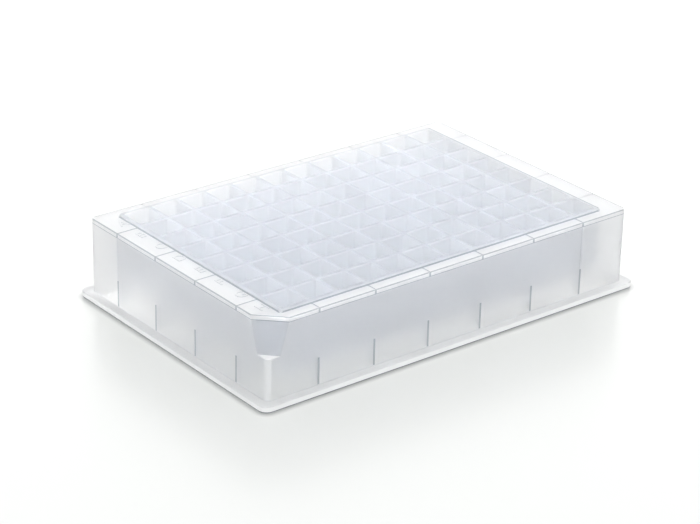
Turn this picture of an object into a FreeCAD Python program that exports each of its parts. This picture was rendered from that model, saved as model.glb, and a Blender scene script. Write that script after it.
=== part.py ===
import FreeCAD, Part
import math
import os
import re
import Sketcher

# A low 96-well laboratory plate with square wells, moulded in one piece.
# Frame: +X along the rows, +Y from row H up to row A, +Z up.
# The origin is the centre of the foot on the bench.

NODE = "well_plate"
RIGHT_ANGLE = math.pi / 2

# name, value in mm (or a count), what it is
SIZES = (
    ("end_margin", 14.38, "short side of the foot to the middle of its first wells"),
    ("side_margin", 11.24, "long side of the foot to the middle of its first wells"),
    ("plate_height", 24.1, "bench to the rim of the wells"),
    ("foot_radius", 2.5, "upright corners of the foot"),
    ("flange_height", 1.85, "height of the stepped foot"),
    ("flange_ledge", 2.65, "how far the foot stands out past the skirt"),
    ("wall_radius", 1.4, "outer upright corners of the skirt"),
    ("cavity_radius", 0.5, "inner upright corners of the skirt"),
    ("wall_thickness", 1.1, "skirt wall"),
    ("rim_step", 0.7, "how far that rim stands above the deck"),
    ("deck_thickness", 1.1, "deck plate between the skirt and the wells"),
    ("pitch", 9.0, "centre to centre of the wells"),
    ("columns", 12, "wells along X"),
    ("rows", 8, "wells along Y"),
    ("divider", 1.2, "wall between two wells, at its top"),
    ("block_radius", 0.8, "upright corners of the block of wells"),
    ("shoulder_height", 6.8, "bench to the underside of the block"),
    ("well_draft", 0.2, "how far a well's wall leans in, from its top to its foot"),
    ("well_foot_rise", 1.1, "end of the well walls above the shoulder"),
    ("well_tip_width", 1.2, "flat square at the bottom of a well"),
    ("floor_thickness", 1.1, "plastic under that flat"),
    ("cup_gap", 0.4, "between two cups at the shoulder"),
    ("cup_tip_margin", 0.9, "how far the flat under a cup stands out past the flat inside"),
    ("cup_tip_height", 2.8, "bench to the flat under a cup"),
    ("web_thickness", 0.8, "webs between the skirt and the block"),
    ("wells_per_web", 2, "wells from one web to the next"),
    ("web_foot", 2.5, "bench to the lower end of a web"),
    ("sink_width", 0.5, "sink line over a web"),
    ("sink_depth", 0.12, "depth of a sink line"),
    ("notch_leg", 7.2, "cut corner at the deck, along each side"),
    ("ledge_leg", 4.2, "cut corner at its ledge, along each side"),
    ("ledge_height", 13.5, "bench to the top of the ledge"),
)

# name, formula over the sizes above
DERIVED = (
    ("deck_height", "plate_height - rim_step"),
    ("foot_x", "(columns - 1) / 2 * pitch + end_margin"),
    ("foot_y", "(rows - 1) / 2 * pitch + side_margin"),
    ("skirt_x", "foot_x - flange_ledge"),
    ("skirt_y", "foot_y - flange_ledge"),
    ("cavity_x", "skirt_x - wall_thickness"),
    ("cavity_y", "skirt_y - wall_thickness"),
    ("block_x", "(columns * pitch + divider) / 2"),
    ("block_y", "(rows * pitch + divider) / 2"),
    ("first_column", "-(columns - 1) / 2 * pitch"),
    ("first_row", "-(rows - 1) / 2 * pitch"),
    ("opening", "pitch - divider"),
    ("well_foot_width", "opening - 2 * well_draft"),
    ("well_foot_height", "shoulder_height + well_foot_rise"),
    ("well_floor_height", "cup_tip_height + floor_thickness"),
    ("cup_width", "pitch - cup_gap"),
    ("cup_tip_width", "well_tip_width + 2 * cup_tip_margin"),
    ("wall_middle", "wall_thickness / 2"),
    ("long_web_depth", "skirt_y - wall_middle - block_y + divider / 2"),
    ("long_web_y", "skirt_y - wall_middle - long_web_depth / 2"),
    ("short_web_depth", "skirt_x - wall_middle - block_x + divider / 2"),
    ("short_web_x", "skirt_x - wall_middle - short_web_depth / 2"),
    ("web_spacing", "wells_per_web * pitch"),
    ("long_webs", "floor(columns / wells_per_web)"),
    ("short_webs", "floor(rows / wells_per_web)"),
    ("first_long_web", "-(long_webs - 1) / 2 * web_spacing"),
    ("first_short_web", "-(short_webs - 1) / 2 * web_spacing"),
    ("notch_slope", "(notch_leg - ledge_leg) / (deck_height - ledge_height)"),
    ("backing", "wall_thickness * (sqrt(2) - 1)"),
)

doc = FreeCAD.newDocument("WellPlate")
sheet = doc.addObject("Spreadsheet::Sheet", "sizes")
for row, (name, value, note) in enumerate(SIZES, start=1):
    sheet.set(f"A{row}", note)
    sheet.set(f"B{row}", str(value))
    sheet.setAlias(f"B{row}", name)
for row, (name, formula) in enumerate(DERIVED, start=len(SIZES) + 1):
    sheet.set(f"A{row}", name)
    sheet.set(f"B{row}", f"={formula}")
    sheet.setAlias(f"B{row}", name)
doc.recompute()


def linked(formula):
    """A formula over the sheet's names, as an object outside the sheet writes it."""
    names = [name for name, *_ in SIZES + DERIVED]
    prefixed = lambda word: f"sizes.{word[0]}" if word[0] in names else word[0]
    return re.sub(r"[a-z]\w*", prefixed, formula)


def worth(formula):
    """What a formula comes to now, for a sketch's first guess."""
    return float(sheet.evalExpression(linked(formula)))


body = doc.addObject("PartDesign::Body", "WellPlateBody")
body.Label = NODE
origin = {item.Role: item for item in body.Origin.OriginFeatures}


def level_sketch(name, height, x="0", y="0"):
    """A level sketch whose own origin stands at (x, y, height)."""
    sketch = body.newObject("Sketcher::SketchObject", name)
    sketch.AttachmentSupport = [(origin["XY_Plane"], "")]
    sketch.MapMode = "FlatFace"
    for axis, formula in (("x", x), ("y", y), ("z", height)):
        sketch.setExpression(f"AttachmentOffset.Base.{axis}", linked(formula))
    return sketch


def line(sketch, start, end):
    """A straight edge between two points of a sketch."""
    ends = [FreeCAD.Vector(*point, 0) for point in (start, end)]
    return sketch.addGeometry(Part.LineSegment(*ends))


def loop(sketch, corners):
    """A closed run of edges joined at their ends."""
    edges = [line(sketch, a, b) for a, b in zip(corners, corners[1:] + corners[:1])]
    for first, second in zip(edges, edges[1:] + edges[:1]):
        sketch.addConstraint(Sketcher.Constraint("Coincident", first, 2, second, 1))
    return edges


def bind(sketch, kind, points, name, formula):
    """A named distance between two points, driven by the sheet."""
    index = sketch.addConstraint(Sketcher.Constraint(kind, *points, worth(formula)))
    sketch.renameConstraint(index, name)
    sketch.setExpression(f"Constraints.{name}", linked(formula))


def rectangle(sketch, width, depth):
    """A rectangle centred on the sketch's origin."""
    x, y = worth(width) / 2, worth(depth) / 2
    edges = loop(sketch, [(-x, -y), (x, -y), (x, y), (-x, y)])
    for edge, kind in zip(edges, ("Horizontal", "Vertical") * 2):
        sketch.addConstraint(Sketcher.Constraint(kind, edge))
    sketch.addConstraint(Sketcher.Constraint("Symmetric", edges[0], 1, edges[2], 1, -1, 1))
    bind(sketch, "DistanceX", (edges[0], 1, edges[0], 2), "width", width)
    bind(sketch, "DistanceY", (edges[1], 1, edges[1], 2), "depth", depth)
    return sketch


def rounded_rectangle(sketch, half_width, half_depth, radius):
    """A centred rectangle with four equal round corners."""
    x, y, r = worth(half_width), worth(half_depth), worth(radius)
    spans = [((r - x, -y), (x - r, -y)), ((x, r - y), (x, y - r)),
             ((x - r, y), (r - x, y)), ((-x, y - r), (-x, r - y))]
    edges = [line(sketch, *span) for span in spans]
    arcs = []
    for quarter, (sx, sy) in enumerate(((1, -1), (1, 1), (-1, 1), (-1, -1))):
        centre = FreeCAD.Vector(sx * (x - r), sy * (y - r), 0)
        circle = Part.Circle(centre, FreeCAD.Vector(0, 0, 1), r)
        turn = (quarter - 1) * RIGHT_ANGLE
        arcs.append(sketch.addGeometry(Part.ArcOfCircle(circle, turn, turn + RIGHT_ANGLE)))
    for quarter in range(4):
        after = edges[(quarter + 1) % 4]
        sketch.addConstraint(Sketcher.Constraint("Tangent", edges[quarter], 2, arcs[quarter], 1))
        sketch.addConstraint(Sketcher.Constraint("Tangent", arcs[quarter], 2, after, 1))
    for edge, kind in zip(edges, ("Horizontal", "Vertical") * 2):
        sketch.addConstraint(Sketcher.Constraint(kind, edge))
    for arc in arcs[1:]:
        sketch.addConstraint(Sketcher.Constraint("Equal", arcs[0], arc))
    sketch.addConstraint(Sketcher.Constraint("Symmetric", edges[0], 1, edges[2], 1, -1, 1))
    bind(sketch, "DistanceX", (edges[3], 1, edges[1], 1), "width", f"2 * {half_width}")
    bind(sketch, "DistanceY", (edges[0], 1, edges[2], 1), "depth", f"2 * {half_depth}")
    bind(sketch, "Radius", (arcs[0],), "radius", radius)
    return sketch


def corner_triangle(sketch, leg):
    """A right-angled triangle with equal legs along +X and +Y from the sketch's origin."""
    edges = loop(sketch, [(0, 0), (worth(leg), 0), (0, worth(leg))])
    sketch.addConstraint(Sketcher.Constraint("Coincident", edges[0], 1, -1, 1))
    sketch.addConstraint(Sketcher.Constraint("Horizontal", edges[0]))
    sketch.addConstraint(Sketcher.Constraint("Vertical", edges[2]))
    sketch.addConstraint(Sketcher.Constraint("Equal", edges[0], edges[2]))
    bind(sketch, "DistanceX", (edges[0], 1, edges[0], 2), "leg", leg)
    return sketch


def extrude(kind, name, sketch, length, flip=False):
    """A pad or a pocket of a level sketch; a pocket cuts down unless it is flipped."""
    feature = body.newObject(f"PartDesign::{kind}", name)
    feature.Profile = sketch
    feature.setExpression("Length", linked(length))
    feature.Reversed = flip
    body.Tip = feature
    return feature


def loft(kind, name, sections):
    """Straight-sided loft through level sketches."""
    feature = body.newObject(f"PartDesign::{kind}Loft", name)
    feature.Profile = sections[0]
    feature.Sections = sections[1:]
    feature.Ruled = True
    body.Tip = feature
    return feature


def frustum(kind, name, low, low_width, high, high_width):
    """A square frustum on the middle of the first well, between two heights."""
    wedge = body.newObject(f"PartDesign::{kind}Wedge", name)
    wedge.AttachmentSupport = [(origin["XZ_Plane"], "")]
    wedge.MapMode = "FlatFace"
    wedge.setExpression("AttachmentOffset.Base.x", linked("first_column"))
    wedge.setExpression("AttachmentOffset.Base.z", linked("-first_row"))
    wedge.setExpression("Ymin", linked(low))
    wedge.setExpression("Ymax", linked(high))
    for level, width in (("", low_width), ("2", high_width)):
        for axis in "XZ":
            wedge.setExpression(f"{axis}{level}min", linked(f"-({width}) / 2"))
            wedge.setExpression(f"{axis}{level}max", linked(f"({width}) / 2"))
    body.Tip = wedge
    return wedge


def grid(name, features, x_step, x_count, y_step, y_count):
    """Copies of features on a grid that grows along +X and +Y."""
    pattern = body.newObject("PartDesign::LinearPattern", name)
    pattern.Originals = features
    pattern.Direction = (origin["X_Axis"], [""])
    pattern.Direction2 = (origin["Y_Axis"], [""])
    pattern.Mode = pattern.Mode2 = "Extent"
    pattern.Refine = False  # the copies leave no seams to merge
    pattern.setExpression("Length", linked(f"({x_count} - 1) * ({x_step})"))
    pattern.setExpression("Occurrences", linked(x_count))
    pattern.setExpression("Length2", linked(f"({y_count} - 1) * ({y_step})"))
    pattern.setExpression("Occurrences2", linked(y_count))
    body.Tip = pattern
    return pattern


def check_volume(before, grew):
    """Stops when a feature added or took away nothing."""
    doc.recompute()
    after = body.Shape.Volume
    if (after > before) != grew or after == before:
        raise RuntimeError(f"{body.Tip.Name} changed the volume from {before:.1f} to {after:.1f}")
    return after


# The stepped foot and the upright skirt above it.
foot = rounded_rectangle(level_sketch("FootOutline", "0"), "foot_x", "foot_y", "foot_radius")
extrude("Pad", "Foot", foot, "flange_height")
volume = check_volume(0, True)
outline = rounded_rectangle(level_sketch("SkirtOutline", "0"), "skirt_x", "skirt_y", "wall_radius")
extrude("Pad", "Skirt", outline, "deck_height")
volume = check_volume(volume, True)

# Hollow from below, up to the deck plate.
cavity = rounded_rectangle(level_sketch("CavityOutline", "0"), "cavity_x", "cavity_y",
                           "cavity_radius")
extrude("Pocket", "Cavity", cavity, "deck_height - deck_thickness", flip=True)
volume = check_volume(volume, False)

# Webs from the skirt to the block, hung from the deck.
long_web = rectangle(level_sketch("LongWebOutline", "web_foot", "first_long_web", "-long_web_y"),
                     "web_thickness", "long_web_depth")
long_pad = extrude("Pad", "LongWeb", long_web, "deck_height - deck_thickness / 2 - web_foot")
grid("LongWebs", [long_pad], "web_spacing", "long_webs", "2 * long_web_y", "2")
volume = check_volume(volume, True)
short_web = rectangle(level_sketch("ShortWebOutline", "web_foot", "-short_web_x", "first_short_web"),
                      "short_web_depth", "web_thickness")
short_pad = extrude("Pad", "ShortWeb", short_web, "deck_height - deck_thickness / 2 - web_foot")
grid("ShortWebs", [short_pad], "2 * short_web_x", "2", "web_spacing", "short_webs")
volume = check_volume(volume, True)

# Behind the cut corner: a leaning wall that ends in a three-cornered ledge.
backing_levels = (("LedgeBacking", "ledge_height - wall_thickness",
                   "ledge_leg - notch_slope * wall_thickness + backing"),
                  ("DeckBacking", "deck_height", "notch_leg + backing"))
backing = [corner_triangle(level_sketch(name, height, "wall_middle - skirt_x",
                                        "wall_middle - skirt_y"), leg)
           for name, height, leg in backing_levels]
loft("Additive", "CornerBacking", backing)
volume = check_volume(volume, True)

# The cut corner beside row H, column 1, which tells which way round the plate is.
notch_levels = (("NotchLedge", "ledge_height", "ledge_leg + 2 * flange_ledge"),
                ("NotchTop", "plate_height",
                 "notch_leg + notch_slope * (plate_height - deck_height) + 2 * flange_ledge"))
notch = [corner_triangle(level_sketch(name, height, "-foot_x", "-foot_y"), leg)
         for name, height, leg in notch_levels]
loft("Subtractive", "CornerNotch", notch)
volume = check_volume(volume, False)

# Shallow sink lines over the webs, up the skirt and across the deck to the block.
sinks = (
    ("LongWallSink", "web_foot", "first_long_web", "-skirt_y", "sink_width", "2 * sink_depth",
     ("web_spacing", "long_webs", "2 * skirt_y", "2")),
    ("LongDeckSink", "deck_height - sink_depth", "first_long_web", "-(skirt_y + block_y) / 2",
     "sink_width", "skirt_y - block_y", ("web_spacing", "long_webs", "skirt_y + block_y", "2")),
    ("ShortWallSink", "web_foot", "-skirt_x", "first_short_web", "2 * sink_depth", "sink_width",
     ("2 * skirt_x", "2", "web_spacing", "short_webs")),
    ("ShortDeckSink", "deck_height - sink_depth", "-(skirt_x + block_x) / 2", "first_short_web",
     "skirt_x - block_x", "sink_width", ("skirt_x + block_x", "2", "web_spacing", "short_webs")),
)
for name, height, x, y, width, depth, steps in sinks:
    slot = rectangle(level_sketch(f"{name}Outline", height, x, y), width, depth)
    cut = extrude("Pocket", name, slot, f"plate_height - ({height})", flip=True)
    grid(f"{name}s", [cut], *steps)
    volume = check_volume(volume, False)

# The block that the wells stand in, from its shoulder to the rim.
block = rounded_rectangle(level_sketch("BlockOutline", "shoulder_height"), "block_x", "block_y",
                          "block_radius")
extrude("Pad", "Block", block, "plate_height - shoulder_height")
volume = check_volume(volume, True)

# Under each well a pyramid cup with a small flat.
cup = frustum("Additive", "Cup", "cup_tip_height", "cup_tip_width", "shoulder_height", "cup_width")
grid("Cups", [cup], "pitch", "columns", "pitch", "rows")
volume = check_volume(volume, True)

# The wells: straight walls with a little draft, then a pyramid down to a small flat.
point = frustum("Subtractive", "WellPoint", "well_floor_height", "well_tip_width",
                "well_foot_height", "well_foot_width")
shaft = frustum("Subtractive", "WellShaft", "well_foot_height", "well_foot_width",
                "plate_height", "opening")
grid("Wells", [point, shaft], "pitch", "columns", "pitch", "rows")
volume = check_volume(volume, False)

for item in doc.Objects:
    if "Invalid" in item.State or "Error" in item.State:
        raise RuntimeError(f"{item.Name}: {item.State}")
shape = body.Shape
if shape.isNull() or not shape.isValid() or len(shape.Solids) != 1:
    raise RuntimeError(f"{NODE} is not one valid solid")

os.makedirs("parts", exist_ok=True)
shape.exportStep(f"parts/{NODE}.step")
box = shape.BoundBox
print(f"{NODE}: {box.XLength:.2f} x {box.YLength:.2f} x {box.ZLength:.2f} mm, {volume / 1000:.2f} cm3")
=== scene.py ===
import bmesh
import bpy
import math
from mathutils import Matrix, Vector


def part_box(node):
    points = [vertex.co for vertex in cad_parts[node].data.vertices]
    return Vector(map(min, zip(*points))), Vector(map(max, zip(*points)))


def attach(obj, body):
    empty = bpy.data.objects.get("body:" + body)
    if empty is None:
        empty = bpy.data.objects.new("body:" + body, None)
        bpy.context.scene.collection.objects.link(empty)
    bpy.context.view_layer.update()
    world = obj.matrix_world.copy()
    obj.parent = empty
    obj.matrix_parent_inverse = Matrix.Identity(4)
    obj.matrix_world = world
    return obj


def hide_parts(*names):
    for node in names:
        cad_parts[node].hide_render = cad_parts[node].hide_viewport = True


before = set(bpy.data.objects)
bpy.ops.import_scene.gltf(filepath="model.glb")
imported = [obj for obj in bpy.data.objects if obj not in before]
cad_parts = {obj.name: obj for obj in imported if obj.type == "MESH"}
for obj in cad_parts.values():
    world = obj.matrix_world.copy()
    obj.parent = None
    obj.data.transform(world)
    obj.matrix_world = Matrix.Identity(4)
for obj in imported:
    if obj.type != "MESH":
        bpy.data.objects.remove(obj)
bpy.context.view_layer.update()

# A low well plate, moulded in one piece from natural polypropylene: a stepped foot, an upright
# skirt with one cut corner, a deck, and a block of square wells that stands a little above it.
# Lengths are in millimetres until a mesh is made, and angles in degrees until they are used.
# +X runs along the rows from column 1, +Y from row H up to row A, +Z up. The plate is centred,
# so a size that ends in X or Y is half a length.
MM = 0.001

# ---------------------------------------------------------------- sizes

FOOT_X, FOOT_Y, TOP = (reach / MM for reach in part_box("well_plate")[1])

COLUMNS, ROWS, PITCH = 12, 8, 9.0
DIVIDER = 1.2               # wall between two wells, at its top
BLOCK_X = (COLUMNS * PITCH + DIVIDER) / 2
BLOCK_Y = (ROWS * PITCH + DIVIDER) / 2
DECK = TOP - 0.7            # upper side of the deck
BAND = DECK - 1.1           # and its underside
FOOT_TOP = 1.85
LEDGE_OUT = 2.65            # how far the foot stands out past the skirt
WALL = 1.1                  # thickness of the skirt
SKIRT_X, SKIRT_Y = FOOT_X - LEDGE_OUT, FOOT_Y - LEDGE_OUT
CAVITY_X, CAVITY_Y = SKIRT_X - WALL, SKIRT_Y - WALL
FOOT_RADIUS = 2.5           # upright corner of the foot

# The level outlines that the plate is drawn from: half length, half width, corner radius
FOOT_FORM = (FOOT_X, FOOT_Y, FOOT_RADIUS)
SKIRT_FORM = (SKIRT_X, SKIRT_Y, 1.4)
CAVITY_FORM = (CAVITY_X, CAVITY_Y, 0.5)
BLOCK_FORM = (BLOCK_X, BLOCK_Y, 0.8)

SHOULDER = 6.8              # underside of the block
WELL_HALF = (PITCH - DIVIDER) / 2, 3.7, 0.6     # half widths: rim, end of the straight walls, tip
WELL_FOOT, WELL_FLOOR = SHOULDER + 1.1, 3.9     # heights of the last two
WELL_RADIUS, TIP_RADIUS = 0.45, 0.27            # upright corners of a well
CUP_HALF, CUP_HALF_TIP = 4.3, 1.5               # half widths of the cup under it, top and tip
CUP_TIP, CUP_RADIUS = 2.8, 0.3

WELLS_PER_WEB = 2
WEB = 0.5                   # thickness of the webs under the deck
WEB_FOOT = 2.5              # their lower end
WEB_LINE = 9.5              # the short ones touch the skirt up to here
WEB_RISE = 6.0              # and slope up to the block by this much
TOUCH = 0.02                # how far a web or a letter sinks into what carries it
SINK_HALF, SINK_DEPTH = 0.3, 0.12       # shallow sink lines over the webs
# Where a sink line's points lie across it, and whether they are at its bottom.
SINK_POINTS = ((-SINK_HALF, False), (-SINK_HALF / 2, True), (SINK_HALF / 2, True), (SINK_HALF, False))

NOTCH_LEG = 7.2             # the cut corner, along each side, at the deck
LEDGE_LEG, LEDGE = 4.2, 13.5            # the same at its ledge, and how high the ledge is
NOTCH_LEAN = (NOTCH_LEG - LEDGE_LEG) / (DECK - LEDGE)
CUT_SOFT = 0.35             # rounding where the cut meets a side
CUT_TURN = 45               # and how far it turns there
ROUND_REACH = LEDGE_LEG + 1.0           # a round corner's points start this far along the sides

FOOT_EDGE = 0.5             # rounding under the foot
EDGE = 0.15                 # moulded rounding of the other outer edges
RIM_EDGE = 0.2              # rounding of the tops of the well walls
EDGE_STEPS, CUT_STEPS, WELL_STEPS, CORNER_STEPS = 3, 3, 4, 6
NEAR_POINTS = CORNER_STEPS + 3          # points on the corner beside row H, column 1

# Thick edges take light away. Their shade is painted: narrow stretches along them have a dark grey
# finish.
LINE = 0.26                 # height of the one round the foot of the block
BAND_LINE = 0.2             # height of the one under the deck
RIM_LINE = 0.17             # width of the one along the deck's outer edge
TOP_LINE = 0.35             # width of the one on the block, towards the last column
TOP_LINE_END = 0.3          # and how far before the block's sides it stops
MILKY_WALL = DIVIDER + 0.35             # the milky back wall of row A, into the wells' corners
POST = 2.0                  # the post under the ledge reaches this far along the skirt
FAR_EDGE = 0.4              # a face this close to the skirt's far sides is on the far edge
SKIN = 0.2                  # a face this close to the skirt's outside is on it
HAIR = 0.008                # slack for a face that lies on a bound

LETTER_HEIGHT, LETTER_RAISED = 3.2, 0.1
CAPITAL = 0.7               # height of a capital, as a share of the font's size
LETTER_OUT = 1.75           # block to the middle of a letter

# ---------------------------------------------------------------- light

# Directions along the bench, from +X: away from the camera, to its right, and back to it.
BEHIND, RIGHT, FRONT = 51.25, -38.75, -128.75
ROW_A = 90.0

# The bench glows: its own colour and glow, and a painted contact shadow, as how far from the edge of
# the foot its glow is dimmed and how dark it gets there.
BENCH_WHITE, BENCH_GLOW = "#999999", "#AEB0AD"
PAINTED_SHADOW_REACH, PAINTED_SHADOW_GLOW = 1.6, 0.5
PAINTED_GLOW_INSET = 2.4           # the glow under the plate starts this far inside the foot's edge
# Painted light: glow added under the plate, a pool that lights it from below: the direction that it
# rises in, from where, to where, colour.
PAINTED_GLOW_UNDER_PLATE = (
    (BEHIND, -60, 60, "#6E6865"),
    (ROW_A, -10, 30, "#908E8C"),
    (ROW_A, 25, 42, "#D4D3D0"),
)
# The room: an even light, and soft panels by direction, elevation, narrowness, strength, tint.
ROOM_EVEN, ROOM_TINT = 1.055, "#FDFEFF"
ROOM_PANELS = (
    (BEHIND, 8, 6, 2.1, "#FFFEFD"),
    (RIGHT, 8, 6, 0.24, "#F5FAFF"),
    (RIGHT, 45, 8, 0.27, "#FFFFFF"),
    (FRONT, 45, 8, 0.76, "#FFFFFE"),
)


def spread(count, spacing):
    """Places of that many things, spread evenly about the middle."""
    return [(k - (count - 1) / 2) * spacing for k in range(count)]


def towards(azimuth, elevation=0.0):
    """The direction at that azimuth from +X and that elevation."""
    turn, rise = math.radians(azimuth), math.radians(elevation)
    return Vector((math.cos(turn) * math.cos(rise), math.sin(turn) * math.cos(rise), math.sin(rise)))


LONG_WEBS = spread(COLUMNS // WELLS_PER_WEB, WELLS_PER_WEB * PITCH)
SHORT_WEBS = spread(ROWS // WELLS_PER_WEB, WELLS_PER_WEB * PITCH)


# ---------------------------------------------------------------- outlines

def arc(centre, radius, start, steps, sweep=90.0):
    """Points on a level arc, counter-clockwise from start."""
    turns = [math.radians(start + sweep * k / steps) for k in range(steps + 1)]
    return [(centre[0] + radius * math.cos(t), centre[1] + radius * math.sin(t)) for t in turns]


def rounding(size):
    """(inset, drop) pairs of a quarter-round edge, from the upright side to the flat."""
    turns = [math.radians(90 * k / EDGE_STEPS) for k in range(EDGE_STEPS + 1)]
    return [(size * (1 - math.cos(t)), size * (1 - math.sin(t))) for t in turns]


def near_corner(form, grow, leg):
    """The corner beside row H, column 1: round, or a cut of that leg with softened ends."""
    x, y, radius = (size + grow for size in form)
    if leg is None:
        bend = arc((radius - x, radius - y), radius, 180, CORNER_STEPS)
        return [(-x, -y + ROUND_REACH)] + bend + [(-x + ROUND_REACH, -y)]
    tangent = CUT_SOFT * math.tan(math.radians(CUT_TURN / 2))
    first = arc((-x + CUT_SOFT, -y + leg + tangent), CUT_SOFT, 180, CUT_STEPS, CUT_TURN)
    last = arc((-x + leg + tangent, -y + CUT_SOFT), CUT_SOFT, 180 + CUT_TURN, CUT_STEPS, CUT_TURN)
    middle = ((first[-1][0] + last[0][0]) / 2, (first[-1][1] + last[0][1]) / 2)
    return first + [middle] + last


def tall_web(x, y):
    """Whether the web there meets the skirt over its whole height, as those beside the three
    round corners do. The others meet it only low down."""
    last_long = abs(abs(x) - LONG_WEBS[-1]) < SINK_HALF
    last_short = abs(abs(y) - SHORT_WEBS[-1]) < SINK_HALF
    return (last_long or last_short) and (x > 0 or y > 0)


def side(start, along, outward, webs, sink, tall_only):
    """Points along one side, where the sink lines over the webs cross it."""
    points = []
    for web in webs:
        flat = tall_only and not tall_web(start[0] + along[0] * web, start[1] + along[1] * web)
        for offset, deep in SINK_POINTS:
            run = web + offset
            inward = sink if deep and not flat else 0.0
            points.append((start[0] + along[0] * run - outward[0] * inward,
                           start[1] + along[1] * run - outward[1] * inward, deep))
    return points


def outline(form, grow, z, leg=None, sink=0.0, drop=0.0, tall_only=False):
    """A level ring round the plate, on a form drawn out by grow. Sink and drop press the sink
    lines in and down, and tall_only keeps them to the tall webs."""
    x, y, radius = (size + grow for size in form)
    ring = [(px, py, False) for px, py in near_corner(form, grow, leg)]
    ring += side((0, -y), (1, 0), (0, -1), LONG_WEBS, sink, tall_only)
    ring += [(px, py, False) for px, py in arc((x - radius, radius - y), radius, 270, CORNER_STEPS)]
    ring += side((x, 0), (0, 1), (1, 0), SHORT_WEBS, sink, tall_only)
    ring += [(px, py, False) for px, py in arc((x - radius, y - radius), radius, 0, CORNER_STEPS)]
    ring += side((0, y), (-1, 0), (0, 1), LONG_WEBS, sink, tall_only)
    ring += [(px, py, False) for px, py in arc((radius - x, y - radius), radius, 90, CORNER_STEPS)]
    ring += side((-x, 0), (0, -1), (-1, 0), SHORT_WEBS, sink, tall_only)
    return [(px, py, z - (drop if deep else 0.0)) for px, py, deep in ring]


def square(middle, half, radius, z):
    """A ring of a rounded square about a middle."""
    ring = []
    for k, (east, north) in enumerate(((-1, -1), (1, -1), (1, 1), (-1, 1))):
        centre = (middle[0] + east * (half - radius), middle[1] + north * (half - radius))
        ring += arc(centre, radius, 180 + 90 * k, WELL_STEPS)
    return [(px, py, z) for px, py in ring]


# ---------------------------------------------------------------- meshes

class Shell:
    """A closed mesh, built from rings that run counter-clockwise seen from above."""

    def __init__(self, name):
        self.name = name
        self.mesh = bmesh.new()

    def ring(self, points):
        return [self.mesh.verts.new(Vector(p) * MM) for p in points]

    def face(self, verts, down=False):
        """A face that looks up, or down."""
        self.mesh.faces.new(list(reversed(verts)) if down else verts)

    def bridge(self, lower, upper):
        """Quads from one ring to the next one, which has as many points."""
        for k in range(len(lower)):
            after = (k + 1) % len(lower)
            self.face([lower[k], lower[after], upper[after], upper[k]])

    def tube(self, rings):
        made = [self.ring(points) for points in rings]
        for lower, upper in zip(made, made[1:]):
            self.bridge(lower, upper)
        return made

    def finish(self, materials, finish_at=lambda middle: 0):
        """The object, with each face's material chosen by the place of its middle."""
        close, sharp = 0.002 * MM, math.radians(38)
        mesh = self.mesh
        bmesh.ops.remove_doubles(mesh, verts=mesh.verts, dist=close)
        bmesh.ops.dissolve_degenerate(mesh, edges=mesh.edges, dist=close)
        bmesh.ops.recalc_face_normals(mesh, faces=mesh.faces)
        for face in mesh.faces:
            face.material_index = finish_at(face.calc_center_median() / MM)
        data = bpy.data.meshes.new(self.name)
        mesh.to_mesh(data)
        mesh.free()
        for material in materials:
            data.materials.append(material)
        data.shade_smooth()
        data.set_sharp_from_angle(angle=sharp)
        obj = bpy.data.objects.new(self.name, data)
        bpy.context.scene.collection.objects.link(obj)
        weighted = obj.modifiers.new("flat_faces_stay_flat", "WEIGHTED_NORMAL")
        weighted.keep_sharp = True
        return obj


# ---------------------------------------------------------------- the plate

def notch_leg(z, inset=0.0):
    """Leg of the cut corner at a height, on an outline drawn in by inset."""
    return LEDGE_LEG + (z - LEDGE) * NOTCH_LEAN - inset * (2 - math.sqrt(2))


def foot_rings():
    """From the underside of the foot, over the flange and up the skirt to the end of the webs'
    sink lines."""
    rings = [outline(FOOT_FORM, -inset, drop) for inset, drop in reversed(rounding(FOOT_EDGE))]
    rings += [outline(FOOT_FORM, -inset, FOOT_TOP - drop) for inset, drop in rounding(EDGE)]
    rings += [outline(SKIRT_FORM, drop, FOOT_TOP + inset) for inset, drop in rounding(EDGE)]
    rings.append(outline(SKIRT_FORM, 0, WEB_FOOT))
    rings.append(outline(SKIRT_FORM, 0, WEB_FOOT + SINK_DEPTH, sink=SINK_DEPTH))
    rings.append(outline(SKIRT_FORM, 0, WEB_LINE, sink=SINK_DEPTH))
    rings.append(outline(SKIRT_FORM, 0, WEB_LINE + SINK_DEPTH, sink=SINK_DEPTH, tall_only=True))
    return rings


def ledge_rings():
    """The round corner ends in a rounded ledge, and the cut corner starts on it."""
    sunk = {"sink": SINK_DEPTH, "tall_only": True}
    cut = near_corner(SKIRT_FORM, 0, LEDGE_LEG)
    rings = []
    for inset, drop in rounding(EDGE):
        ring = outline(SKIRT_FORM, 0, LEDGE - drop, **sunk)
        bend = near_corner(SKIRT_FORM, -inset, None)[1:-1]
        ring[:NEAR_POINTS] = [(px, py, LEDGE - drop) for px, py in [cut[0]] + bend + [cut[-1]]]
        rings.append(ring)
    rings.append(outline(SKIRT_FORM, 0, LEDGE, LEDGE_LEG, **sunk))
    return rings


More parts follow.
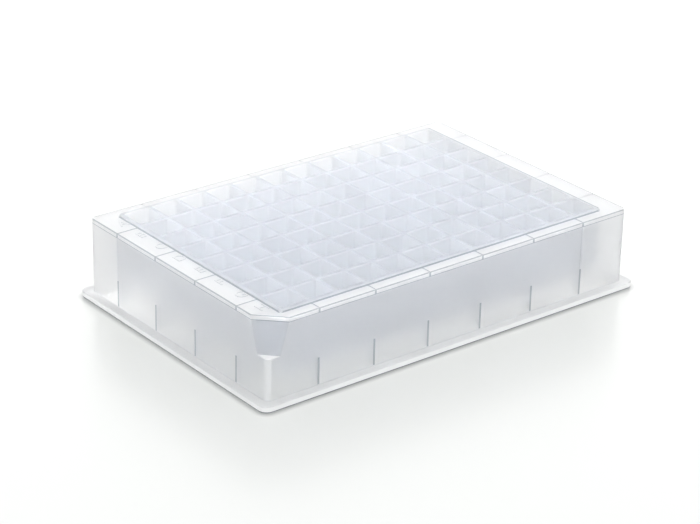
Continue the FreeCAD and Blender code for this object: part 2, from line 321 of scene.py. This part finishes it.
def deck_rings():
    """The upper edge of the skirt, the deck, and the block up to the flat of its rim."""
    rings = [outline(SKIRT_FORM, 0, z, notch_leg(z), sink=SINK_DEPTH, tall_only=z < BAND)
             for z in (BAND - BAND_LINE, BAND)]
    for inset, drop in rounding(EDGE):
        z, share = DECK - drop, inset / EDGE
        rings.append(outline(SKIRT_FORM, -inset, z, notch_leg(z, inset),
                             sink=SINK_DEPTH * (1 - share), drop=SINK_DEPTH * share))
    inset = EDGE + RIM_LINE
    rings.append(outline(SKIRT_FORM, -inset, DECK, notch_leg(DECK, inset), drop=SINK_DEPTH))
    rings.append(outline(BLOCK_FORM, 2 * EDGE, DECK, drop=SINK_DEPTH))
    rings += [outline(BLOCK_FORM, drop, DECK + inset) for inset, drop in rounding(EDGE)]
    rings.append(outline(BLOCK_FORM, 0, DECK + LINE))
    rings += [outline(BLOCK_FORM, -inset, TOP - drop) for inset, drop in rounding(RIM_EDGE)]
    rings.append(outline(BLOCK_FORM, -RIM_EDGE - TOP_LINE, TOP))
    return rings


def inner_rings():
    """Up from the block's shoulder, out under the deck and down the inside of the skirt."""
    back = WALL * (2 - math.sqrt(2))
    under_ledge = LEDGE - WALL
    rings = [outline(BLOCK_FORM, 0, SHOULDER),
             outline(BLOCK_FORM, 0, BAND),
             outline(CAVITY_FORM, 0, BAND, notch_leg(BAND) - back),
             outline(CAVITY_FORM, 0, under_ledge, notch_leg(under_ledge) - back)]
    round_corner = outline(CAVITY_FORM, 0, under_ledge)
    for k in (0, NEAR_POINTS - 1):
        round_corner[k] = rings[-1][k]
    rings.append(round_corner)
    rings += [outline(CAVITY_FORM, inset, drop) for inset, drop in rounding(EDGE)]
    return rings


def cell_corners(shell, z):
    """Corners of the square cells that the wells stand in, by column and row."""
    return {(i, j): shell.ring([(x, y, z)])[0]
            for i, x in enumerate(spread(COLUMNS + 1, PITCH))
            for j, y in enumerate(spread(ROWS + 1, PITCH))}


def fill_round_cells(shell, ring, corners, down):
    """The level strip between a ring round the block and the outer cells."""
    edges = (
        (NEAR_POINTS, LONG_WEBS, [corners[i, 0] for i in range(COLUMNS + 1)]),
        (CORNER_STEPS + 1, SHORT_WEBS, [corners[COLUMNS, j] for j in range(ROWS + 1)]),
        (CORNER_STEPS + 1, LONG_WEBS, [corners[i, ROWS] for i in range(COLUMNS, -1, -1)]),
        (CORNER_STEPS + 1, SHORT_WEBS, [corners[0, j] for j in range(ROWS, -1, -1)]),
    )
    first = 0
    for bend, webs, cells in edges:
        last = first + bend - 1
        after = last + 1 + len(webs) * len(SINK_POINTS)
        shell.face(ring[first:last + 1] + [cells[0]], down)
        along = [ring[k % len(ring)] for k in range(last, after + 1)]
        shell.face(along + list(reversed(cells)), down)
        first = after


def fill_cell(shell, cell, ring, down):
    """The level strip between a square cell and the rounded square inside it."""
    bend_points = WELL_STEPS + 1
    for k in range(4):
        bend = ring[k * bend_points:(k + 1) * bend_points]
        shell.face([cell[k]] + list(reversed(bend)), down)
        following = ring[(k + 1) * bend_points % len(ring)]
        shell.face([cell[k], cell[(k + 1) % 4], following, bend[-1]], down)


def build_plate(finishes):
    """The moulding: its outside, its hollow underside, the wells and the cups under them."""
    shell = Shell("moulded_plate")
    outside = shell.tube(foot_rings() + ledge_rings() + deck_rings())
    inside = shell.tube(inner_rings())
    shell.bridge(inside[-1], outside[0])
    top, low = cell_corners(shell, TOP), cell_corners(shell, SHOULDER)
    fill_round_cells(shell, outside[-1], top, down=False)
    fill_round_cells(shell, inside[0], low, down=True)

    rim_half, foot_half, tip_half = WELL_HALF
    for i, x in enumerate(spread(COLUMNS, PITCH)):
        for j, y in enumerate(spread(ROWS, PITCH)):
            keys = ((i, j), (i + 1, j), (i + 1, j + 1), (i, j + 1))
            rings = [square((x, y), rim_half + inset, WELL_RADIUS + inset, TOP - drop)
                     for inset, drop in reversed(rounding(RIM_EDGE))]
            rings.append(square((x, y), foot_half, WELL_RADIUS, WELL_FOOT))
            rings.append(square((x, y), tip_half, TIP_RADIUS, WELL_FLOOR))
            well = shell.tube(rings)
            fill_cell(shell, [top[key] for key in keys], well[0], down=False)
            shell.face(well[-1])
            cup = shell.tube([square((x, y), CUP_HALF, CUP_RADIUS, SHOULDER),
                              square((x, y), CUP_HALF_TIP, CUP_RADIUS, CUP_TIP)])
            fill_cell(shell, [low[key] for key in keys], cup[0], down=True)
            shell.face(cup[-1], down=True)
    return shell.finish(finishes, finish_of)


def web_profile(near, far, tall):
    """A web seen from the side, as (how far out from the middle, height)."""
    foot = [(near, WEB_FOOT), (far, WEB_FOOT)]
    if tall:
        return foot + [(far, BAND + TOUCH), (near, BAND + TOUCH)]
    return foot + [(far, WEB_LINE), (near, WEB_LINE + WEB_RISE)]


def build_webs(material):
    """Upright webs under the deck, which tie the skirt to the block."""
    shell = Shell("deck_webs")
    for on_long_side, block, cavity, webs in ((True, BLOCK_Y, CAVITY_Y, LONG_WEBS),
                                              (False, BLOCK_X, CAVITY_X, SHORT_WEBS)):
        near, far = block - TOUCH, cavity + TOUCH
        for sign in (-1, 1):
            for web in webs:
                tall = tall_web(*((web, sign * far) if on_long_side else (sign * far, web)))
                cheeks = []
                for along in (web - WEB / 2, web + WEB / 2):
                    cheeks.append(shell.ring([
                        (along, sign * out, z) if on_long_side else (sign * out, along, z)
                        for out, z in web_profile(near, far, tall)]))
                shell.bridge(*cheeks)
                shell.face(cheeks[0])
                shell.face(cheeks[1], down=True)
    return shell.finish([material])


def build_letters(top, edge):
    """Raised row letters on the deck, upright when row A is at the top, with painted shade on their
    sides.
    """
    made = []
    for letter, y in zip("HGFEDCBA", spread(ROWS, PITCH)):
        curve = bpy.data.curves.new("letter", "FONT")
        curve.body = letter
        curve.align_x, curve.align_y = "CENTER", "CENTER"
        curve.size = LETTER_HEIGHT / CAPITAL * MM
        curve.extrude = (LETTER_RAISED + TOUCH) / 2 * MM
        pattern = bpy.data.objects.new("letter", curve)
        bpy.context.scene.collection.objects.link(pattern)
        bpy.context.view_layer.update()
        solid = pattern.evaluated_get(bpy.context.evaluated_depsgraph_get())
        mesh = bpy.data.meshes.new_from_object(solid)
        bpy.data.objects.remove(pattern)
        mesh.materials.clear()
        mesh.materials.append(top)
        mesh.materials.append(edge)
        for face in mesh.polygons:
            level = abs(face.normal.z) > 0.5
            face.material_index = 0 if level else 1
        obj = bpy.data.objects.new(f"row_letter_{letter}", mesh)
        obj.location = Vector((-BLOCK_X - LETTER_OUT, y, DECK + (LETTER_RAISED - TOUCH) / 2)) * MM
        bpy.context.scene.collection.objects.link(obj)
        made.append(obj)
    return made


# ---------------------------------------------------------------- which face has which finish

# Places of the finishes in the list that plate_finishes returns.
SKIRT, DECK_TOP, WELLS, PAINTED_SHADE_LINES, SHADED_WELL_TOPS, FOOT, PAINTED_DARK_LINE, SHADED_CUT_FACE = range(8)


def within(middle, x, y):
    """Whether a face lies inside that rectangle about the plate's middle."""
    return abs(middle.x) < x and abs(middle.y) < y


def beyond(middle, x, y):
    """Whether a face lies outside it."""
    return abs(middle.x) > x or abs(middle.y) > y


def on_outside(middle):
    """Whether a face is outside the skirt or on the cut corner."""
    by_the_cut = middle.x < -CAVITY_X + NOTCH_LEG and middle.y < -CAVITY_Y + NOTCH_LEG
    return beyond(middle, SKIRT_X - SKIN, SKIRT_Y - SKIN) or by_the_cut


def past_web(middle, on_long_side):
    """How far a face is past the middle of the nearest web, along its side of the plate."""
    run, webs = (middle.x, LONG_WEBS) if on_long_side else (middle.y, SHORT_WEBS)
    return min((run - web for web in webs), key=abs)


def on_sink_line(middle):
    """Whether a face is on the part of a sink line that runs up the skirt."""
    on_short = abs(middle.x) > SKIRT_X - SKIN and abs(past_web(middle, False)) < SINK_HALF
    on_long = abs(middle.y) > SKIRT_Y - SKIN and abs(past_web(middle, True)) < SINK_HALF
    return on_short or on_long


def block_finish(middle):
    """The block of wells. Row A's back wall and the block's side behind it are milky."""
    z = middle.z
    # Painted shade: dark strips round the block's foot and along its top by the last column.
    shade_line_round_foot = beyond(middle, BLOCK_X - HAIR, BLOCK_Y - HAIR) and DECK < z < DECK + LINE
    shade_line_by_last_column = (middle.x > BLOCK_X - RIM_EDGE - TOP_LINE and z > TOP - RIM_EDGE
                           and abs(middle.y) < BLOCK_Y - TOP_LINE_END)
    if shade_line_round_foot or shade_line_by_last_column:
        return PAINTED_SHADE_LINES
    if middle.y > BLOCK_Y - MILKY_WALL and WELL_FOOT < z < TOP - HAIR:
        return FOOT
    # The tops of the well walls get the darker tint: painted shade.
    return SHADED_WELL_TOPS if z > TOP - HAIR else WELLS


def deck_finish(middle):
    """The deck, its edge and the sink lines that cross it, with painted shade as dark strips along the
    edge and the sink lines.
    """
    z = middle.z
    level = z > DECK - SINK_DEPTH - HAIR
    rim = level and beyond(middle, SKIRT_X - EDGE - RIM_LINE, SKIRT_Y - EDGE - RIM_LINE)
    rim = rim or on_outside(middle) and DECK - EDGE < z < DECK - HAIR
    # Painted shade: on the far sides the rim strip is a dark line.
    if rim and (middle.x > SKIRT_X - FAR_EDGE or middle.y > SKIRT_Y - FAR_EDGE):
        return PAINTED_DARK_LINE
    # Painted shade: the rim strip and the sink lines' sides get the dark grey finish.
    if rim or z < DECK and on_sink_line(middle):
        return PAINTED_SHADE_LINES
    past = past_web(middle, on_long_side=abs(middle.x) < BLOCK_X + HAIR)
    # On the deck, the near half of each sink line is painted dark as shade, and the far half stays
    # clear.
    if level and -SINK_HALF / 2 < past < SINK_HALF:
        near = middle.x < -BLOCK_X or middle.y < -BLOCK_Y
        return PAINTED_SHADE_LINES if near and past > SINK_HALF / 2 else WELLS
    return DECK_TOP


def foot_finish(middle):
    """The foot below its flat flange: milky, with a painted contact shadow, a dark rounding where it
    meets the bench.
    """
    if middle.z > FOOT_TOP - EDGE or not on_outside(middle):
        return SKIRT
    return PAINTED_DARK_LINE if HAIR < middle.z < FOOT_EDGE else FOOT


def skirt_finish(middle):
    """The skirt, its sink lines, the post under the ledge and the cut corner, with painted shade on
    the low sink lines and on the cut corner's face.
    """
    z, outside = middle.z, on_outside(middle)
    if outside and FOOT_TOP + HAIR < z < FOOT_TOP + EDGE:
        return WELLS
    # Painted shade: the sink lines low on the skirt are dark grey strips.
    if on_sink_line(middle) and z > FOOT_TOP + HAIR:
        if z < WEB_LINE:
            return PAINTED_SHADE_LINES
        if tall_web(middle.x, middle.y):
            return WELLS
    by_the_post = middle.x < -SKIRT_X + POST and middle.y < -SKIRT_Y + POST
    if by_the_post and FOOT_TOP < z < LEDGE + HAIR:
        return FOOT if z > LEDGE - EDGE else DECK_TOP
    if z < FOOT_TOP + HAIR:
        return DECK_TOP
    leg = notch_leg(z)
    in_the_cut = middle.x < -SKIRT_X + leg and middle.y < -SKIRT_Y + leg
    on_its_face = abs(middle.x) + abs(middle.y) > SKIRT_X + SKIRT_Y - leg - 2 * EDGE
    # The cut corner's leaning face gets a darker tint: painted shade.
    return SHADED_CUT_FACE if in_the_cut and on_its_face and z > LEDGE + HAIR else SKIRT


def finish_of(middle):
    """Which finish a face of the plate has, by the place of its middle."""
    if within(middle, BLOCK_X + HAIR, BLOCK_Y + HAIR):
        return block_finish(middle)
    # Painted shade: a dark strip round the block's foot on the deck, and one under the deck's outer
    # edge.
    if within(middle, BLOCK_X + 2 * EDGE, BLOCK_Y + 2 * EDGE):
        return PAINTED_SHADE_LINES
    if on_outside(middle) and BAND - BAND_LINE < middle.z < BAND:
        return PAINTED_SHADE_LINES
    if middle.z > BAND - HAIR:
        return deck_finish(middle)
    if middle.z < FOOT_TOP - HAIR:
        return foot_finish(middle)
    return skirt_finish(middle)


# ---------------------------------------------------------------- materials

def linear(code):
    """An sRGB hex colour as linear red, green, blue and alpha."""
    parts = [int(code[k:k + 2], 16) / 255 for k in (1, 3, 5)]
    return [c / 12.92 if c <= 0.04045 else ((c + 0.055) / 1.055) ** 2.4 for c in parts] + [1.0]


def add(tree, kind, feeds, **settings):
    """A node with its settings. Feeds go to its inputs, by name or place: a value is set, and a
    socket, or another node's first output, is linked."""
    node = tree.nodes.new(kind)
    for name, value in settings.items():
        setattr(node, name, value)
    for place, value in feeds.items():
        if isinstance(value, bpy.types.Node):
            value = value.outputs[0]
        if isinstance(value, bpy.types.NodeSocket):
            tree.links.new(value, node.inputs[place])
        else:
            node.inputs[place].default_value = value
    return node


def new_material(name):
    material = bpy.data.materials.new(name)
    material.use_nodes = True
    material.node_tree.nodes.clear()
    return material


def polypropylene(name, tint, roughness, milk, passing=0.5):
    """Natural polypropylene, moulded: it passes light like ground glass, so what stands behind a
    wall shows as a soft shape, and its crystals scatter some of the light as plain soft white.
    Milk is the share that is scattered, and passing is how much of that goes on through."""
    material = new_material(name)
    tree, white = material.node_tree, linear("#FFFFFF")
    clear = add(tree, "ShaderNodeBsdfPrincipled", {
        "Base Color": linear(tint), "Roughness": roughness, "IOR": 1.49, "Transmission Weight": 1.0})
    back = add(tree, "ShaderNodeBsdfDiffuse", {"Color": white})
    through = add(tree, "ShaderNodeBsdfTranslucent", {"Color": white})
    soft = add(tree, "ShaderNodeMixShader", {0: passing, 1: back, 2: through})
    mix = add(tree, "ShaderNodeMixShader", {0: milk, 1: clear, 2: soft})
    add(tree, "ShaderNodeOutputMaterial", {"Surface": mix})
    return material


def plate_finishes():
    """The finishes of the one plastic, in the order of their names above."""
    return [
        # Satin from the mould's spark-eroded walls: the block and the webs behind it show as
        # soft grey shadows, with a faint sheen over them.
        polypropylene("satin_polypropylene_skirt", "#FCFCFD", roughness=0.42, milk=0.1),
        # Frosted on top, so that the deck stays an even white frame round the wells.
        polypropylene("frosted_polypropylene_deck", "#F7F8FA", roughness=0.3, milk=0.55),
        # Thin walls with little milk: many of them in a row build up a cool, watery grey.
        polypropylene("natural_polypropylene_wells", "#F6F7F9", roughness=0.8, milk=0.04),
        # Painted shade: edges and sink lines, seen through their whole depth, drawn as thin grey lines
        # by a dark grey tint on narrow strips and on the letters' sides.
        polypropylene("polypropylene_painted_shade_lines", "#A0A6AC", roughness=0.3, milk=0.0),
        # Painted shade: tops of the walls between wells, tinted a little deeper in tone than the
        # walls, though the plastic is the same.
        polypropylene("polypropylene_well_tops_painted_shade", "#ECEEF2", roughness=0.7, milk=0.03),
        # Thick, milky stretches: they glow almost white and hide what is behind.
        polypropylene("frosted_polypropylene_foot", "#F7F8FA", roughness=0.3, milk=0.85, passing=0.25),
        # Painted shade: a dark line on the foot's lower rounding, as the contact shadow at the bench,
        # and along the far rim of the deck.
        polypropylene("polypropylene_painted_contact_and_rim_shade", "#5A6066", roughness=0.5, milk=0.0),
        # Painted shade: the leaning face of the cut corner is tinted a shade darker than the skirt.
        polypropylene("polypropylene_cut_corner_painted_shade", "#EDEFF3", roughness=0.6, milk=0.02),
    ]


def past_rectangle(tree, place, x, y):
    """How far a place lies outside a rectangle about the middle of the bench, in metres. The
    rectangle is a metre tall, so that height never counts."""
    reach, nothing = (x * MM, y * MM, 1.0), (0.0, 0.0, 0.0)
    aside = add(tree, "ShaderNodeVectorMath", {0: place}, operation="ABSOLUTE")
    over = add(tree, "ShaderNodeVectorMath", {0: aside, 1: reach}, operation="SUBTRACT")
    kept = add(tree, "ShaderNodeVectorMath", {0: over, 1: nothing}, operation="MAXIMUM")
    return add(tree, "ShaderNodeVectorMath", {0: kept}, operation="LENGTH").outputs["Value"]


def painted_glow_bench():
    """White acrylic with a soft gloss that mirrors the skirt faintly. Its emission is painted light:
    an even glow that lights the hollow plate from inside, a painted pool of extra glow under the
    plate, and a painted contact shadow round the foot, so that shadows on it stay pale."""
    material = new_material("white_acrylic_painted_glow")
    tree = material.node_tree
    place = add(tree, "ShaderNodeNewGeometry", {}).outputs["Position"]

    # Painted contact shadow: the glow dims within this reach of the foot's edge.
    core = past_rectangle(tree, place, FOOT_X - FOOT_RADIUS, FOOT_Y - FOOT_RADIUS)
    beside = add(tree, "ShaderNodeMath", {0: core, 1: FOOT_RADIUS * MM}, operation="SUBTRACT")
    away = add(tree, "ShaderNodeMath", {0: beside}, operation="ABSOLUTE")
    share = add(tree, "ShaderNodeMapRange", {
        "Value": away, "From Min": 0.0, "From Max": PAINTED_SHADOW_REACH * MM, "To Min": PAINTED_SHADOW_GLOW})
    glow = add(tree, "ShaderNodeVectorMath", {0: linear(BENCH_GLOW)[:3], "Scale": share},
               operation="SCALE")

    # Painted light: a pool of extra glow inside the foot, rising towards the back of the plate.
    outside = past_rectangle(tree, place, FOOT_X - PAINTED_GLOW_INSET, FOOT_Y - PAINTED_GLOW_INSET)
    below = add(tree, "ShaderNodeMath", {0: outside, 1: HAIR * MM}, operation="LESS_THAN")
    for azimuth, low, high, colour in PAINTED_GLOW_UNDER_PLATE:
        along = add(tree, "ShaderNodeVectorMath", {0: place, 1: towards(azimuth)},
                    operation="DOT_PRODUCT").outputs["Value"]
        rise = add(tree, "ShaderNodeMapRange", {
            "Value": along, "From Min": low * MM, "From Max": high * MM},
            interpolation_type="SMOOTHSTEP")
        share = add(tree, "ShaderNodeMath", {0: below, 1: rise}, operation="MULTIPLY")
        more = add(tree, "ShaderNodeVectorMath", {0: linear(colour)[:3], "Scale": share},
                   operation="SCALE")
        glow = add(tree, "ShaderNodeVectorMath", {0: glow, 1: more}, operation="ADD")

    sheet = add(tree, "ShaderNodeBsdfPrincipled", {
        "Base Color": linear(BENCH_WHITE), "Roughness": 0.28, "Specular IOR Level": 0.5,
        "Emission Color": glow, "Emission Strength": 1.0})
    add(tree, "ShaderNodeOutputMaterial", {"Surface": sheet})
    return material


# ---------------------------------------------------------------- stage

def build_bench():
    """A wide sheet just below the foot, so that the two never share a plane."""
    size, gap = 6000, 0.05
    bpy.ops.mesh.primitive_plane_add(size=size * MM, location=(0, 0, -gap * MM))
    bench = bpy.context.object
    bench.name = "white_floor"
    bench.data.materials.append(painted_glow_bench())


def build_room():
    """A white room: the same light from everywhere, and a few soft panels."""
    world = bpy.data.worlds.new("white_room")
    bpy.context.scene.world = world
    world.use_nodes = True
    tree = world.node_tree
    tree.nodes.clear()
    place = add(tree, "ShaderNodeTexCoord", {}).outputs["Generated"]
    light = [part * ROOM_EVEN for part in linear(ROOM_TINT)[:3]]
    for azimuth, elevation, narrowness, strength, tint in ROOM_PANELS:
        facing = add(tree, "ShaderNodeVectorMath", {0: place, 1: towards(azimuth, elevation)},
                     operation="DOT_PRODUCT").outputs["Value"]
        ahead = add(tree, "ShaderNodeMath", {0: facing, 1: 0.0}, operation="MAXIMUM")
        soft = add(tree, "ShaderNodeMath", {0: ahead, 1: narrowness}, operation="POWER")
        colour = [part * strength for part in linear(tint)[:3]]
        panel = add(tree, "ShaderNodeVectorMath", {0: colour, "Scale": soft}, operation="SCALE")
        light = add(tree, "ShaderNodeVectorMath", {0: light, 1: panel}, operation="ADD")
    background = add(tree, "ShaderNodeBackground", {"Color": light, "Strength": 1.0})
    add(tree, "ShaderNodeOutputWorld", {"Surface": background})


def build_camera():
    """A long lens, well above the bench, looking over the cut corner."""
    azimuth, elevation, roll = -128.749, 24.834, math.radians(1.29)
    distance, target = 679.06 * MM, Vector((9.72, 16.4, 0.0)) * MM
    back = towards(azimuth, elevation)
    right = Vector((0, 0, 1)).cross(back).normalized()
    up = back.cross(right)
    across = right * math.cos(roll) + up * math.sin(roll)
    upward = up * math.cos(roll) - right * math.sin(roll)
    data = bpy.data.cameras.new("camera")
    data.lens, data.sensor_width = 123.37, 36.0
    data.clip_start, data.clip_end = 0.05, 20.0
    camera = bpy.data.objects.new("camera", data)
    turn = Matrix((across, upward, back)).transposed().to_4x4()
    camera.matrix_world = Matrix.Translation(target + back * distance) @ turn
    bpy.context.scene.collection.objects.link(camera)
    bpy.context.scene.camera = camera


def main():
    scene = bpy.context.scene
    scene.view_settings.view_transform = "Standard"
    # Light crosses many walls of the block, so it may turn often before it is given up.
    bounces = 32
    scene.cycles.max_bounces = bounces
    scene.cycles.transmission_bounces = bounces
    scene.cycles.diffuse_bounces = bounces
    scene.cycles.glossy_bounces = bounces
    scene.cycles.transparent_max_bounces = bounces // 2

    finishes = plate_finishes()
    plate = build_plate(finishes)
    webs = build_webs(finishes[WELLS])
    letters = build_letters(finishes[DECK_TOP], finishes[PAINTED_SHADE_LINES])
    for piece in [plate, webs] + letters:
        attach(piece, "root")
    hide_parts("well_plate")
    build_bench()
    build_room()
    build_camera()


main()
